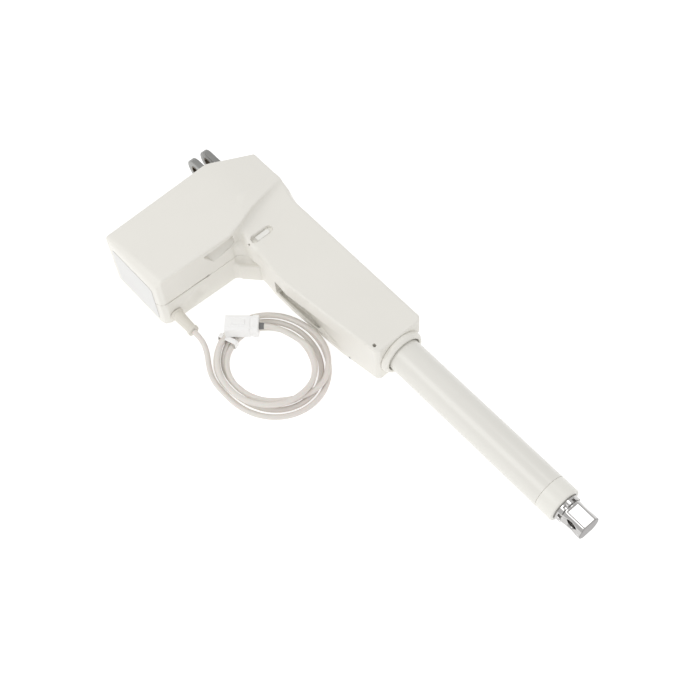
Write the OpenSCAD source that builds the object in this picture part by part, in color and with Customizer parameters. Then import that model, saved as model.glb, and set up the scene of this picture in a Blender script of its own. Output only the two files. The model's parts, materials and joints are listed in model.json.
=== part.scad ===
// Electric linear actuator: a worm-geared motor turns a lead screw, and a nut
// on the screw pushes a chromed rod out of a painted tube.
// Millimetres. Origin: centre of the rear clevis pin hole. +X runs along the
// lead screw to the rod end, +Y runs from the motor to the screw, +Z is up.
// The actuator lies on its broad side, on a floor at z = floor_z.

/* [Travel] */
// Travel of the rod
stroke = 300; // [200:10:300]
// Distance between the two pin holes with the rod drawn in
pin_to_pin = 480; // [480:5:520]

/* [Tube and rod] */
// Outer radius of the painted tube
tube_r = 16; // [15.8:0.1:16]
// Inner radius of the painted tube
tube_in_r = 14.3; // [14.2:0.1:14.4]
// Outer radius of the chromed rod
rod_r = 12.5; // [12.3:0.1:12.6]
// Inner radius of the chromed rod
rod_in_r = 9.8; // [9.7:0.1:10]
// Radius of both pin holes
pin_r = 5.1; // [4:0.1:5.5]
// Radius of the rod eye
eye_r = 11; // [10:0.5:12]

/* [Housing] */
// Wall thickness of the two shells
wall = 2.5; // [2:0.1:3]
// Height of the motor roof above the screw axis
roof_z = 39.6; // [39.6:0.2:44]
// Height of the joint between the shells
split_z = 5; // [4:0.5:6]
// Height of the screw housing above the screw axis
deck_z = 24; // [24:0.5:26]
// Height of the floor
floor_z = -26; // [-28:0.5:-26]

/* [Gears and screw] */
// Advance of the lead screw in one turn
screw_lead = 8; // [8:1:10]
// Outer radius of the screw thread
screw_r = 7; // [6.8:0.1:7]
// Root radius of the screw thread
screw_core_r = 5.4; // [5:0.1:5.5]
// Teeth of the worm wheel
wheel_teeth = 25; // [25:1:25]
// Pitch radius of the worm wheel
wheel_pitch_r = 14; // [14:0.1:14]
// Pitch radius of the worm
worm_pitch_r = 5; // [5:0.1:5]

/* [Motor] */
// Outer radius of the motor can
can_r = 17; // [16.5:0.1:17]
// X of the motor axis, over the middle of the worm wheel
motor_x = 62; // [62:0.1:62]

/* [Cord] */
// Diameter of the cord
cord_d = 5; // [4:0.5:5]
// Outer radius of the coil's round ends
coil_r = 50.5; // [48:0.5:50.5]
// Width of the bundle of turns
coil_w = 19; // [16:1:20]
// Height of the bundle of turns
coil_h = 9.4; // [8:0.2:9.4]

/* [Hidden] */
$fn = 64;

fit = 0.02;           // gap between pieces that are pressed together
run = 0.05;           // gap between pieces that turn or slide on each other
eps = 0.01;

// Places along the screw axis
cup_x = 42;           // rear face of the clevis cup
cup_end_x = 54;       // mouth of the clevis cup
rear_race_x = 46;     // rear face of the rear bearing
race_w = 8;
wheel_x = 57;         // rear face of the worm wheel
wheel_w = 10;
flange_x = 68;        // shoulder of the screw in front of the wheel
front_race_x = 74;    // rear face of the front bearing
front_race_w = 9;
block_x = 72;         // rear face of the bearing block
block_r = 19.4;
tube_x = 88;          // rear end of the painted tube
block_end_x = 98;
nut_x = 104;          // rear face of the drive nut
rod_x = 112;          // rear end of the chromed rod
cap_x = 448;          // seam between the tube and its end cap
cap_end_x = 465.5;
rod_end_x = 466;
screw_end_x = 436;
thread_x = 100;
thread_end_x = 432;
front_x = 271;        // front face of the screw housing

// Worm gear
worm_pitch = 2 * PI * wheel_pitch_r / wheel_teeth;
worm_lead_angle = atan(worm_pitch / (2 * PI * worm_pitch_r));
motor_z = wheel_pitch_r + worm_pitch_r;
tooth_top_r = wheel_pitch_r + 1;
tooth_root_r = wheel_pitch_r - 1.35;
worm_r = worm_pitch_r + 1;
worm_core_r = worm_pitch_r - 1.3;

// Motor, along Y
can_y = -108;
can_end_y = -50;
shaft_r = 3;

// Outlines of the housing, seen from above
motor_outline = [[29, -127], [101, -127], [103, -46], [98, -28], [92, -12.6],
    [80.5, 30], [42, 30], [26, -12.6]];
deck_outline = [[80, -33], [104, -33], [142, -35.5], [165, -37], [268, -25.3],
    [front_x, -22], [front_x, 22.5], [267.5, 26], [96, 26], [81, 30]];
keel_outline = [[80, -32], [127, -32], [142, -33.5], [166, -33.5], [228, -29.5],
    [267, -24], [front_x - 1, -21], [front_x - 1, 21.5], [266.5, 25], [96, 25], [81, 29]];
gusset_outline = [[100, -47], [107.7, -44.6], [117.9, -35.3], [121, -33], [121, -30], [100, -30]];
side_groove = [[143, -45], [143, -25.5], [150, -25], [230, -29.4], [234, -45]];
groove_bottom_z = -19;

// Places of the housing screws
motor_screws = [[37, -118], [93, -118], [36, -62], [96, -62], [36, -24], [47, 21.5], [76, 23.6]];
deck_screws = [[120, 20.2], [190, 20.2], [258, 20.2], [127, -28], [236, -25.3]];
front_post = [263.5, -21.3];

// Cord: the stretch from the strain relief to the coil, and the end at the plug
relief = [101.6, -114, -16];
relief_tip_x = 127;
lead_route = [[98, -114, -16], [127, -114, -16], [131, -114, -16.2], [135, -114, -16.8],
    [139, -114.3, -17.8], [143, -115.2, -19.1], [147, -116.8, -20.6], [151, -118.9, -21.9],
    [155, -121.4, -22.9], [160, -124.4, -23.4], [166, -127.4, -23.5]];
tail_route = [[167.5, -66.9, -10.4], [171, -63.3, -10.6], [175, -60.2, -11.2], [180, -57.4, -12.1],
    [186, -55, -13], [193, -53, -13.7], [200, -51.2, -14.1], [207, -49.3, -14.2]];
coil_y = -83;
coil_xs = [193, 201];
plug_at = [154.5, -80.8, -10.39];
plug_turn = 47;
plug_size = [30, 16, 12.4];

// Geometry helpers
function unit(v) = v / norm(v);
function meet(p, u, q, v) = p + u * (((q - p) * [v.y, -v.x]) / (u * [v.y, -v.x]));
function left(u) = [-u.y, u.x];
// An anticlockwise outline moved inward by d
function inset(pts, d) = [for (i = [0 : len(pts) - 1])
    let (a = pts[(i + len(pts) - 1) % len(pts)], b = pts[i], c = pts[(i + 1) % len(pts)],
         u = unit(b - a), v = unit(c - b))
    meet(b + left(u) * d, u, b + left(v) * d, v)];
function ring_faces(n, a, b) = [for (i = [0 : n - 1])
    each [[a + i, a + (i + 1) % n, b + i], [a + (i + 1) % n, b + (i + 1) % n, b + i]]];

// A prism between two heights on a plan outline
module prism(pts, z0, z1) {
    translate([0, 0, z0]) linear_extrude(z1 - z0) polygon(pts);
}

// A cylinder along X from x0 to x1
module rod_x(x0, x1, r) {
    translate([x0, 0, 0]) rotate([0, 90, 0]) cylinder(h = x1 - x0, r = r);
}

// A ring along X
module ring_x(x0, x1, r, bore) {
    difference() {
        rod_x(x0, x1, r);
        rod_x(x0 - 1, x1 + 1, bore);
    }
}

// A cylinder on the motor axis from y0 to y1
module rod_y(y0, y1, r) {
    translate([motor_x, y0, motor_z]) rotate([-90, 0, 0]) cylinder(h = y1 - y0, r = r);
}

// A ring on the motor axis
module ring_y(y0, y1, r, bore) {
    difference() {
        rod_y(y0, y1, r);
        rod_y(y0 - 1, y1 + 1, bore);
    }
}

// A box between two corners
module box(a, b) {
    translate(a) cube(b - a);
}

// A helical ridge about Z, with a four-sided section that is centred on z = 0
// at the start; turns may be any number
module ridge(r_in, w_in, r_out, w_out, pitch, turns, sides) {
    steps = round(turns * sides);
    section = [[r_in, -w_in / 2], [r_out, -w_out / 2], [r_out, w_out / 2], [r_in, w_in / 2]];
    points = [for (i = [0 : steps]) for (s = section)
        [s[0] * cos(360 * i / sides), s[0] * sin(360 * i / sides), s[1] + pitch * i / sides]];
    side_faces = [for (i = [0 : steps - 1]) each ring_faces(4, 4 * i, 4 * i + 4)];
    polyhedron(points, concat(side_faces,
        [[3, 2, 1, 0], [for (k = [0 : 3]) 4 * steps + k]]));
}

// A round tube swept along a route that never runs straight up
module sweep(route, r, sides) {
    last = len(route) - 1;
    points = [for (i = [0 : last])
        let (t = unit(route[min(i + 1, last)] - route[max(i - 1, 0)]),
             across = unit(cross(t, [0, 0, 1])), up = cross(across, t))
        for (k = [0 : sides - 1])
            route[i] + r * (across * cos(360 * k / sides) + up * sin(360 * k / sides))];
    polyhedron(points, concat([for (i = [0 : last - 1]) each ring_faces(sides, sides * i, sides * (i + 1))],
        [[for (k = [sides - 1 : -1 : 0]) k], [for (k = [0 : sides - 1]) sides * last + k]]));
}

// ---- Housing ----

// The side view of the motor and gear housing, from y to z, with its sloped gear end
module gear_profile(inset_by, z0) {
    d = inset_by;
    x0 = 20;
    translate([x0, 0, 0]) rotate([90, 0, 90]) linear_extrude(90)
        polygon([[-127 + d, z0], [30 - d, z0], [30 - d, 32.1 - d], [-12.6, roof_z - d],
            [-119 + d / 2, roof_z - d], [-127 + d, roof_z - 8 - d / 2]]);
}

// Everything below the plane through three points, given anticlockwise from above
module below(p, q, r) {
    n = unit(cross(q - p, r - p));
    translate(p) rotate([0, acos(n.z), atan2(n.y, n.x)]) box([-150, -150, -100], [150, 150, 0]);
}

// The slope from the gear housing's roof down to the screw housing, in two facets
module saddle() {
    ridge_end = [91, -10, roof_z - 1];
    deck_far = [94.5, 24, deck_z];
    intersection() {
        prism([[75, -12], [96, -27], [110, -25.5], [110, 25], [96.5, 25], [81.5, 29], [75, 28.5]],
            deck_z - 2, roof_z);
        gear_profile(0.4, deck_z - 2);
        below(ridge_end, [107, -26, deck_z], deck_far);
        below(ridge_end, deck_far, [81.5, 27, 32]);
    }
}

// Screw posts between the floor and the roof of the shells
module posts(places, z0, z1) {
    for (p = places) {
        translate([p.x, p.y, z0]) cylinder(h = z1 - z0, r = 3.1);
    }
}

// Ribs that hold the motor at its two rubber rings
module motor_ribs(z0, z1) {
    for (y = [-104, -58]) {
        difference() {
            box([33, y, z0], [97, y + 5, z1]);
            rod_y(y - 1, y + 6, can_r + 1 + run);
        }
    }
}

// The wall that takes the push of the clevis cup
module rear_bulkhead(z0, z1) {
    box([39.5, -19, z0], [cup_x - fit, 17, z1]);
}

module top_shell() {
    color("ivory") difference() {
        union() {
            difference() {
                union() {
                    intersection() {
                        prism(motor_outline, split_z, roof_z);
                        gear_profile(0, split_z);
                    }
                    prism(deck_outline, split_z, deck_z);
                    saddle();
                }
                intersection() {
                    prism(inset(motor_outline, wall), 0, roof_z);
                    gear_profile(wall, 0);
                }
                prism(inset(deck_outline, wall), split_z + 3, deck_z - wall);
                box([70, -22, 0], [front_x - wall, 23.5, deck_z - wall]);
                oval_recess();
            }
            intersection() {
                posts(motor_screws, split_z, roof_z);
                gear_profile(wall / 2, split_z);
            }
            posts(concat(deck_screws, [front_post]), split_z, deck_z - wall);
            motor_ribs(split_z, roof_z - wall);
            rear_bulkhead(split_z, 33);
            box([50, 15.4, 9], [74, 20.4, 33]);
            box([50, 15.4, 30], [74, 20.4, 33.5]);
        }
        for (p = concat(motor_screws, deck_screws)) {
            translate([p.x, p.y, 0]) cylinder(h = 16, r = 1.55);
        }
        translate([front_post.x, front_post.y, 16]) cylinder(h = 10, r = 1.6);
        rod_x(15, 45, 9.15);
        rod_x(60, block_end_x + 2, block_r + fit);
        rod_x(200, 300, tube_r + 3.4);
        rod_y(14, 22, 6 + fit);
    }
}

module bottom_shell() {
    color("ivory") difference() {
        union() {
            difference() {
                union() {
                    prism(motor_outline, floor_z, split_z);
                    prism(keel_outline, floor_z, split_z);
                    prism(gusset_outline, floor_z, -4);
                }
                prism(inset(motor_outline, wall), floor_z + wall, split_z + 1);
                box([70, -22, floor_z + wall], [front_x - wall - 1, 22.5, split_z + 1]);
                prism(side_groove, groove_bottom_z, split_z + 1);
            }
            posts(motor_screws, floor_z + 1, split_z);
            posts(concat(deck_screws, [front_post]), floor_z + 1, split_z);
            motor_ribs(floor_z + 1, split_z);
            rear_bulkhead(floor_z + 1, split_z);
            for (x = [40, 92], y = [-96, -70]) {
                translate([x, y, floor_z + 1]) cylinder(h = 9, r = 2.5);
            }
        }
        for (p = concat(motor_screws, deck_screws)) {
            translate([p.x, p.y, floor_z - 1]) cylinder(h = 40, r = 1.65);
            translate([p.x, p.y, floor_z - 1]) cylinder(h = 3.6, r = 3.05);
        }
        rod_x(15, 45, 9.15);
        rod_x(60, block_end_x + 2, block_r + fit);
        rod_x(200, 300, tube_r + 3.4);
        translate([95, relief.y, relief.z]) rotate([0, 90, 0]) cylinder(h = 12, r = 4.05);
    }
}

// A slot with round ends from a point along a direction in plan
module slot_shape(length, r, z0, z1) {
    translate([107.5, -21.5, z0]) rotate([0, 0, 70.9]) {
        for (x = [0, length]) {
            translate([x, 0, 0]) cylinder(h = z1 - z0, r = r);
        }
        box([0, -r + 0.1, 0], [length, r - 0.1, z1 - z0]);
    }
}

// The slanted slot beside the gear housing, and its plug
module oval_recess() {
    slot_shape(13.8, 3.4, deck_z - 1.8, deck_z + 20);
}

module housing_screws() {
    color("silver") for (p = concat(motor_screws, deck_screws)) {
        translate([p.x, p.y, floor_z + 0.3]) difference() {
            union() {
                cylinder(h = 2.28, r = 2.8);
                cylinder(h = 40, r = 1.5);
            }
            translate([0, 0, -1]) cylinder(h = 2.2, r = 1.3, $fn = 6);
        }
    }
}

module rating_plate() {
    color("whitesmoke") box([36, -127.5, -19], [94, -127, 27]);
}

module access_plug() {
    color("white") slot_shape(9.5, 2.7, deck_z - 1.8, deck_z - 0.5);
}

module front_collar() {
    color("ivory") difference() {
        union() {
            rod_x(262, 276, tube_r + 3.35);
            rod_x(front_x + fit, 274, tube_r + 5.5);
            translate([274, 0, 0]) rotate([0, 90, 0])
                cylinder(h = 3, r1 = tube_r + 5.5, r2 = tube_r + 3.4);
        }
        rod_x(260, 280, tube_r + fit);
        rod_x(270, 280, tube_r + 1.4);
    }
}

// ---- Tube ----

// Two keyways along the inside of the tube stop the nut from turning
module keyways(x0, x1, top_r, half_w) {
    box([x0, -half_w, -top_r], [x1, half_w, top_r]);
}

module outer_tube() {
    color("whitesmoke") difference() {
        rod_x(tube_x, cap_x, tube_r);
        rod_x(tube_x - 1, cap_x + 1, tube_in_r);
        keyways(tube_x - 1, cap_x + 1, tube_in_r + 0.8, 2);
    }
}

module tube_end_cap() {
    color("whitesmoke") difference() {
        union() {
            rod_x(cap_x, cap_end_x, tube_r);
            rod_x(cap_x - 10, cap_x + 1, tube_in_r - fit);
        }
        rod_x(cap_x - 11, cap_x - 9, rod_r + 0.3);
        rod_x(cap_x - 9, cap_x + 11, 13.6 + fit);
        rod_x(cap_x + 10, cap_end_x + 1, rod_r + 0.3);
        rod_x(460, 464.5, 14.2 + fit);
    }
}

module guide_bush() {
    color("dimgray") ring_x(cap_x - 9 + fit, cap_x + 11 - fit, 13.6, rod_r + run);
}

module wiper_ring() {
    color("black") ring_x(460 + fit, 464.5 - fit, 14.2, rod_r + run);
}

// ---- Rear end ----

module rear_clevis() {
    color("gray") difference() {
        union() {
            rotate([90, 0, 0]) translate([0, 0, -10.3]) cylinder(h = 20.6, r = 12.5);
            box([0, -10.3, -12.5], [25, 10.3, 12.5]);
            rod_x(24, cup_x + 1, 9);
            rod_x(cup_x, cup_end_x, 15);
        }
        box([-20, -4.25, -20], [13, 4.25, 20]);
        rotate([90, 0, 0]) translate([0, 0, -20]) cylinder(h = 40, r = 6.4);
        rod_x(rear_race_x, cup_end_x + 1, 13 + fit);
        rod_x(rear_race_x - 2, rear_race_x + 1, 10);
    }
}

module clevis_bushes() {
    color("darkgoldenrod") for (side = [-1, 1]) {
        rotate([90, 0, 0]) translate([0, 0, side * 7.275 - 3.025]) difference() {
            cylinder(h = 6.05, r = 6.4 - fit);
            translate([0, 0, -1]) cylinder(h = 9, r = pin_r);
        }
    }
}

// ---- Bearings ----

// One ring of a ball bearing, with a groove for its balls
module race(x0, w, r_out, r_in, ball_at, ball_r) {
    translate([x0, 0, 0]) rotate([0, 90, 0]) rotate_extrude() difference() {
        translate([r_in, 0]) square([r_out - r_in, w]);
        translate([ball_at, w / 2]) circle(r = ball_r + run);
    }
}

module balls(x, count, ball_at, ball_r) {
    for (i = [0 : count - 1]) {
        rotate([360 * i / count, 0, 0]) translate([x, 0, ball_at]) sphere(r = ball_r);
    }
}

module rear_bearing_outer_ring() {
    color("silver") race(rear_race_x, race_w, 13, 10.4, 9, 2);
}

module rear_bearing_inner_ring() {
    color("silver") race(rear_race_x, race_w, 7.6, 5 + fit, 9, 2);
}

module rear_bearing_balls() {
    color("lightgray") balls(rear_race_x + race_w / 2, 9, 9, 2);
}

module front_bearing_outer_ring() {
    color("silver") race(front_race_x, front_race_w, 16, 13.2, 11.7, 2.2);
}

module front_bearing_inner_ring() {
    color("silver") race(front_race_x, front_race_w, 10.2, 7.5 + fit, 11.7, 2.2);
}

module front_bearing_balls() {
    color("lightgray") balls(front_race_x + front_race_w / 2, 11, 11.7, 2.2);
}

module bearing_block() {
    color("lightgray") difference() {
        rod_x(block_x, block_end_x, block_r);
        rod_x(block_x - 1, front_race_x, 13);
        rod_x(front_race_x - eps, front_race_x + front_race_w, 16 + fit);
        rod_x(front_race_x + front_race_w - 1, tube_x, 12.6);
        rod_x(tube_x, block_end_x + 1, tube_r + fit);
    }
}

// ---- Motor ----

module motor_can() {
    color("dimgray") ring_y(can_y, can_end_y, can_r, can_r - 1.05);
}

module motor_magnets() {
    color("darkslategray") for (side = [0, 1]) {
        translate([motor_x, -100, motor_z]) rotate([-90, 0, 0]) rotate([0, 0, 180 * side])
            linear_extrude(40) intersection() {
                difference() {
                    circle(r = can_r - 1.05 - fit);
                    circle(r = 12.8);
                }
                polygon([[0, 0], [20, -30], [40, 0], [20, 30]]);
            }
    }
}

module motor_front_plate() {
    color("silver") difference() {
        union() {
            rod_y(can_end_y, can_end_y + 3, can_r);
            rod_y(can_end_y, can_end_y + 6, 9);
            rod_y(can_end_y - 3, can_end_y + 1, can_r - 1.05 - fit);
        }
        rod_y(can_end_y - 4, can_end_y + 7, 6 + fit);
        rod_y(can_end_y - 4, can_end_y - 0.5, 13);
    }
}

module motor_front_bush() {
    color("darkgoldenrod") ring_y(can_end_y - 0.4, can_end_y + 6, 6, shaft_r + run);
}

module brush_cap() {
    color("black") difference() {
        union() {
            rod_y(can_y - 9.5, can_y, can_r);
            translate([motor_x, can_y - 9.5, motor_z]) rotate([90, 0, 0])
                cylinder(h = 5.5, r1 = can_r, r2 = can_r - 5);
            rod_y(can_y - 1, can_y + 3, can_r - 1.05 - fit);
        }
        rod_y(can_y - 11, can_y + 4, can_r - 3);
        rod_y(can_y - 16, can_y, 5 + fit);
    }
}

module brushes() {
    color("black") for (side = [-1, 1]) {
        translate([motor_x + side * 10 - 3.7, can_y - 6, motor_z - 2]) cube([7.4, 5, 4]);
    }
}

module motor_rear_bush() {
    color("darkgoldenrod") ring_y(can_y - 15, can_y - 10.5, 5, shaft_r + run);
}

module motor_rubber_rings() {
    color("black") for (y = [-104, -58]) {
        ring_y(y - 0.5, y + 5.5, can_r + 1, can_r + fit);
    }
}

module worm_bush() {
    color("darkgoldenrod") ring_y(15.4, 20.4, 6, shaft_r + run);
}

module worm_shaft() {
    color("silver") union() {
        rod_y(can_y - 13, 26, shaft_r);
        rod_y(-14, 14, worm_core_r);
        // the ridge is centred on the low side of the worm at y = 0
        turns = 7;
        translate([motor_x, -worm_pitch * turns / 2, motor_z]) rotate([-90, 0, 0])
            rotate([0, 0, 90 + 180 * turns])
            ridge((worm_core_r + fit) / cos(7.5), 2.3, worm_r, 0.7, worm_pitch, turns, 24);
    }
}

module armature_core() {
    color("dimgray") difference() {
        rod_y(-98, -62, 12.2);
        rod_y(-99, -61, shaft_r + fit);
        for (k = [0 : 11]) {
            translate([motor_x, -99, motor_z]) rotate([-90, 30 * k, 0])
                translate([6.5, -0.9, 0]) cube([8, 1.8, 40]);
        }
    }
}

module armature_windings() {
    color("chocolate") {
        for (y = [-102.5, -62]) {
            translate([motor_x, y, motor_z]) rotate([-90, 0, 0]) rotate_extrude()
                polygon([[4, 0], [11, 0.8], [11.6, 2.2], [11, 3.7], [4, 4.5]]);
        }
    }
}

module commutator() {
    color("peru") ring_y(-116, -104, 6.2, shaft_r + fit);
}

module encoder_magnet() {
    color("black") ring_y(21.4, 25, 5, shaft_r + fit);
}

// ---- Electronics ----

module encoder_board() {
    color("darkgreen") box([52, 26.2, 9], [72, 27.45, 29]);
}

module control_board() {
    color("darkgreen") box([36, -98.5, -16], [96, -66.5, -14.4]);
}

module relays() {
    color("royalblue") for (x = [40, 58]) {
        box([x, -96, -14.4], [x + 15, -77, -0.4]);
    }
}

module capacitor() {
    color("midnightblue") translate([84, -92, -9.3]) rotate([-90, 0, 0]) cylinder(h = 20, r = 5.05);
}

// ---- Cord ----

module strain_relief() {
    tip = relief_tip_x - relief.x;
    bore = cord_d / 2 + fit;
    color("ivory") translate(relief) rotate([0, 90, 0]) rotate_extrude()
        polygon([[bore, -4.5], [6, -4.5], [6, -3], [4, -3], [4, 0], [6.6, 0], [6.6, 1.8],
            [5.4, 2.8], [4.5, tip - 3.6], [5.5, tip - 3], [5.5, tip - 0.4], [5, tip], [bore, tip]]);
}

module cord_lead() {
    color("linen") sweep(lead_route, cord_d / 2, 10);
}

module cord_tail() {
    color("linen") sweep(tail_route, cord_d / 2, 10);
}

// A flat shape with round ends at the two coil centres
module oval(r) {
    for (x = coil_xs) {
        translate([x, coil_y]) circle(r = r);
    }
    translate([coil_xs[0], coil_y - r]) square([coil_xs[1] - coil_xs[0], 2 * r]);
}

module cord_coil() {
    color("linen") translate([0, 0, floor_z]) linear_extrude(coil_h) difference() {
        oval(coil_r);
        oval(coil_r - coil_w);
    }
}

module cord_plug() {
    color("white") translate(plug_at) rotate([0, 0, plug_turn]) difference() {
        union() {
            translate(-plug_size / 2) cube(plug_size);
            translate([plug_size.x / 2 - 1, 0, 0]) rotate([0, 90, 0]) cylinder(h = 5.6, r = 3.4);
            translate([-9, -2.5, plug_size.z / 2 - 0.5]) cube([12, 5, 1.8]);
        }
        for (i = [-1 : 1], j = [0, 1]) {
            translate([-plug_size.x / 2 - 1, 4.6 * i - 1.6, 5 * j - 4.1]) cube([9, 3.2, 3.2]);
        }
    }
}

// ---- Lead screw ----

module lead_screw() {
    color("silver") {
        difference() {
            union() {
                rod_x(45, 56, 5);
                rod_x(55, flange_x, 7);
                rod_x(flange_x, 72, 9);
                rod_x(71, 84, 7.5);
                rod_x(84, screw_end_x, screw_core_r);
            }
            box([wheel_x - eps, -1.5, 5], [wheel_x + wheel_w + eps, 1.5, 10]);
            rod_x(screw_end_x - 14, screw_end_x + 1, 2.5 + fit);
        }
        turns = (thread_end_x - thread_x) / screw_lead;
        translate([thread_x, 0, 0]) rotate([0, 90, 0])
            ridge((screw_core_r + fit) / cos(15), 3.6, screw_r, 2.4, screw_lead, turns, 12);
    }
}

module worm_wheel() {
    color("ivory") difference() {
        union() {
            rod_x(wheel_x, wheel_x + wheel_w, tooth_root_r);
            // a gap faces straight up at rest, under the worm's ridge
            for (k = [0 : wheel_teeth - 1]) {
                rotate([360 * (k + 0.5) / wheel_teeth, 0, 0])
                    translate([wheel_x + wheel_w / 2, 0, 0]) rotate([0, 0, -worm_lead_angle])
                    rotate([90, 0, 90]) translate([0, 0, -wheel_w / 2 + 0.05]) linear_extrude(wheel_w - 0.1)
                    polygon([[-1, tooth_root_r - 0.4], [1, tooth_root_r - 0.4],
                        [0.7, wheel_pitch_r], [0.34, tooth_top_r], [-0.34, tooth_top_r],
                        [-0.7, wheel_pitch_r]]);
            }
        }
        rod_x(wheel_x - 1, wheel_x + wheel_w + 1, 7 + fit);
        box([wheel_x - 1, -1.5, 5], [wheel_x + wheel_w + 1, 1.5, 9]);
    }
}

module wheel_key() {
    color("gray") box([wheel_x + 0.3, -1.48, 5.02], [wheel_x + wheel_w - 0.3, 1.48, 8.95]);
}

module screw_stop() {
    color("gray") {
        ring_x(screw_end_x, screw_end_x + 3, 9.2, 2.5 + fit);
        rod_x(screw_end_x - 12, screw_end_x + 3, 2.5);
        rod_x(screw_end_x + 3, screw_end_x + 6, 4.5);
    }
}

// ---- Rod ----

module rod_tube() {
    color("silver") difference() {
        rod_x(rod_x, rod_end_x, rod_r);
        rod_x(rod_x - 1, rod_end_x + 1, rod_in_r);
        translate([rod_x + 12, 0, 0]) cylinder(h = 40, r = 1.5, center = true);
    }
}

module drive_nut() {
    color("gold") {
        difference() {
            union() {
                rod_x(nut_x, rod_x, tube_in_r - 0.3);
                rod_x(rod_x - 1, rod_x + 18, rod_in_r - fit);
            }
            rod_x(nut_x - 1, rod_x + 19, screw_r + 0.3);
            translate([rod_x + 12, 0, 0]) cylinder(h = 40, r = 1.5, center = true);
        }
        // the nut's own thread runs half a lead away from the screw's
        turns = 2.25;
        translate([nut_x + 4.6, 0, 0]) rotate([0, 90, 0])
            rotate([0, 0, 360 * (nut_x + 4.6 - thread_x) / screw_lead + 180])
            ridge(screw_core_r + 0.45, 2.6, screw_r + 0.3 - fit, 3.8, screw_lead, turns, 12);
    }
}

module nut_pins() {
    color("gray") for (side = [-1, 1]) {
        translate([rod_x + 12, 0, side > 0 ? screw_r + 0.5 : -rod_r + 0.1])
            cylinder(h = rod_r - screw_r - 0.6, r = 1.5 - fit);
    }
}

module nut_glide() {
    color("black") difference() {
        union() {
            rod_x(rod_x, rod_x + 8, tube_in_r - run);
            keyways(rod_x, rod_x + 8, tube_in_r + 0.7, 1.9);
        }
        rod_x(rod_x - 1, rod_x + 9, rod_r + fit);
    }
}

module rod_lock_ring() {
    color("silver") difference() {
        rod_x(rod_end_x, rod_end_x + 4.6, rod_r - 0.2);
        rod_x(rod_end_x - 1, rod_end_x + 6, rod_in_r);
        for (k = [0 : 7]) {
            rotate([22.5 + 45 * k, 0, 0]) box([rod_end_x + 2, -1.4, 9], [rod_end_x + 6, 1.4, 14]);
        }
    }
}

module rod_eye() {
    head_x = rod_end_x + 4.6;
    tip_x = 491.7;
    color("silver") difference() {
        union() {
            rod_x(rod_end_x - 20, head_x + 1, rod_in_r - fit);
            rod_x(head_x, tip_x - 1, eye_r);
            translate([tip_x - 1, 0, 0]) rotate([0, 90, 0]) cylinder(h = 1, r1 = eye_r, r2 = eye_r - 1);
        }
        translate([pin_to_pin, 0, 0]) rotate([90, 0, 0]) {
            cylinder(h = 40, r = pin_r, center = true);
            for (side = [0, 180]) {
                rotate([side, 0, 0]) translate([0, 0, 8]) cylinder(h = 4, r1 = pin_r, r2 = pin_r + 4.4);
            }
        }
        for (side = [-1, 1]) {
            translate([head_x + 2, -15, side > 0 ? 9.2 : -19.2]) cube([30, 30, 10]);
        }
    }
}

top_shell();
bottom_shell();
housing_screws();
rating_plate();
access_plug();
front_collar();
outer_tube();
tube_end_cap();
guide_bush();
wiper_ring();
rear_clevis();
clevis_bushes();
rear_bearing_outer_ring();
rear_bearing_balls();
front_bearing_outer_ring();
front_bearing_balls();
bearing_block();
motor_can();
motor_magnets();
motor_front_plate();
motor_front_bush();
brush_cap();
brushes();
motor_rear_bush();
motor_rubber_rings();
worm_bush();
encoder_board();
control_board();
relays();
capacitor();
strain_relief();
cord_lead();
cord_coil();
cord_tail();
cord_plug();
lead_screw();
worm_wheel();
wheel_key();
rear_bearing_inner_ring();
front_bearing_inner_ring();
screw_stop();
worm_shaft();
armature_core();
armature_windings();
commutator();
encoder_magnet();
rod_tube();
drive_nut();
nut_pins();
nut_glide();
rod_lock_ring();
rod_eye();
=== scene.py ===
"""The looks of an electric linear actuator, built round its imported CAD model."""
import json
import math

import bmesh
import bpy
import numpy as np
from mathutils import Matrix, Vector


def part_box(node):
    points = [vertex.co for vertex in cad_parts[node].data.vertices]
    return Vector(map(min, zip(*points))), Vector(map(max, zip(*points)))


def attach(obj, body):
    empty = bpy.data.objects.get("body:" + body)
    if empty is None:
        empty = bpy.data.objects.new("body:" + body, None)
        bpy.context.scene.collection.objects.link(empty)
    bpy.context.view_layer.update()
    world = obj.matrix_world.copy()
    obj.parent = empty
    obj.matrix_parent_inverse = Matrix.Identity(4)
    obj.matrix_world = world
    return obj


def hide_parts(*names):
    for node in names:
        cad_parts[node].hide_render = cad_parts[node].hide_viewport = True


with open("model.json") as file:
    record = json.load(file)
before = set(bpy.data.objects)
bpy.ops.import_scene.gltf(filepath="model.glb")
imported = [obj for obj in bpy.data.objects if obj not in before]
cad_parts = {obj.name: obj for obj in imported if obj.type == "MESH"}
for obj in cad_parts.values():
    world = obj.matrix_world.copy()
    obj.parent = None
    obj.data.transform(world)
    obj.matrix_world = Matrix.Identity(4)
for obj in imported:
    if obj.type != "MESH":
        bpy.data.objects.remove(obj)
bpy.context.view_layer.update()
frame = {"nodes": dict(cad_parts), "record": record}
nodes = frame["nodes"]

MM = 0.001
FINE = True
QUICK_COARSER = 1.7


def box_mm(node):
    """A CAD node's lowest and highest corner, in millimetres to one place."""
    return [np.round(np.array(corner) / MM, 1).tolist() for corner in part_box(node)]


# the housing's extent, from the frame; forms below are in millimetres
HOUSING_LOW = box_mm("bottom_shell")[0]
HOUSING_HIGH = box_mm("top_shell")[1]
FLOOR_Z = HOUSING_LOW[2]
SPLIT_Z = box_mm("top_shell")[0][2]
ROOF_Z = HOUSING_HIGH[2]
DECK_Z = 24.0


# ---- Camera, light and floor ----

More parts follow.
